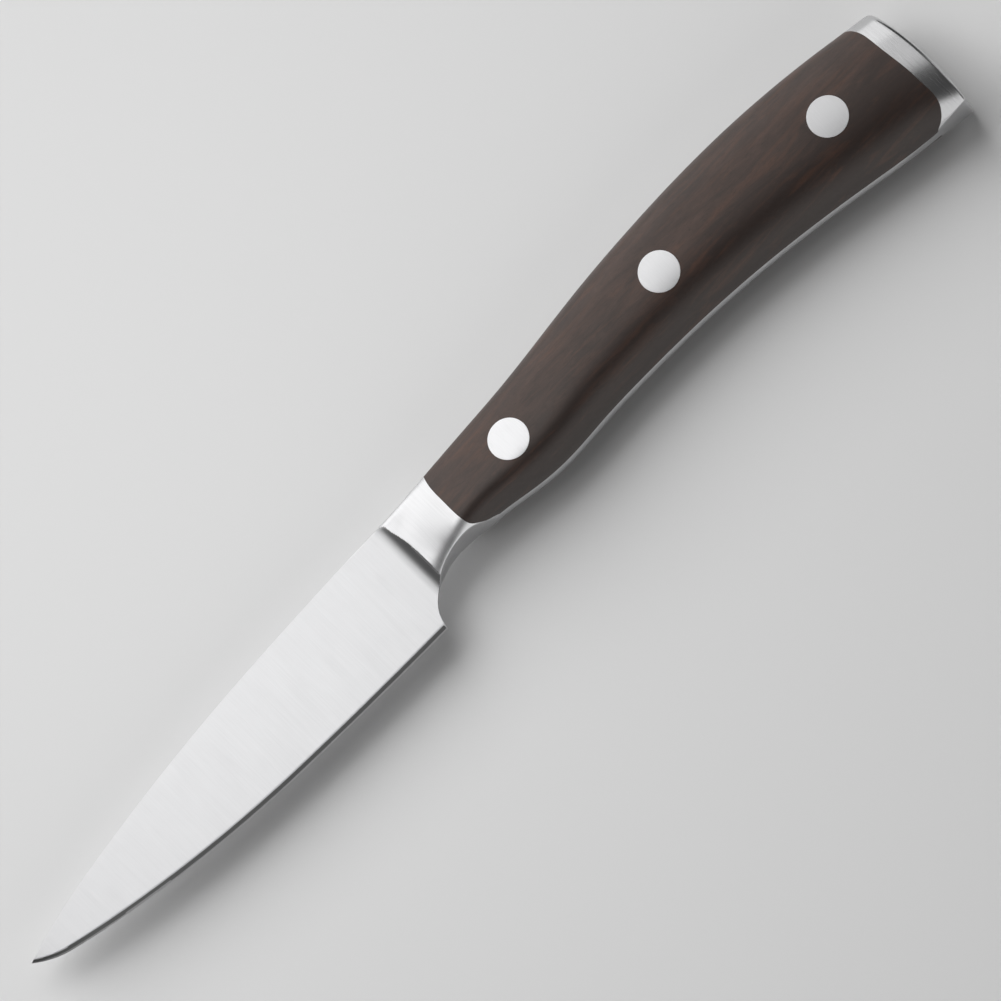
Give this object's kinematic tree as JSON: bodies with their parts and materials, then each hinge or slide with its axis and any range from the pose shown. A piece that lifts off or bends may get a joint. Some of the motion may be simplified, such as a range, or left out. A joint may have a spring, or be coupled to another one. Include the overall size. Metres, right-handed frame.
{
  "type": "paring knife",
  "caption": "Forged paring knife with a satin steel blade, half bolster, full tang, steel end cap and dark wood handle scales held by flush rivets.",
  "frame": {"origin": "middle of the lower face of the knife's box, where the knife lies on its right flank", "axes": "+X from the tip to the butt, +Y from the cutting edge to the spine, +Z out of the left flank"},
  "size_m": [0.2062, 0.0263, 0.0144],
  "materials": {
    "forged_steel": "satin ground across the blade and bolster",
    "handle_wood": "fine-grained, near-black brown, oiled and smooth",
    "rivet_steel": "ground flush with the wood, pale satin"
  },
  "bodies": {
    "root": {"blade_forging": "forged_steel", "left_scale": "handle_wood", "right_scale": "handle_wood", "front_rivet_pin": "rivet_steel", "front_rivet_tube": "rivet_steel", "middle_rivet_pin": "rivet_steel", "middle_rivet_tube": "rivet_steel", "rear_rivet_pin": "rivet_steel", "rear_rivet_tube": "rivet_steel"}
  },
  "joints": []
}
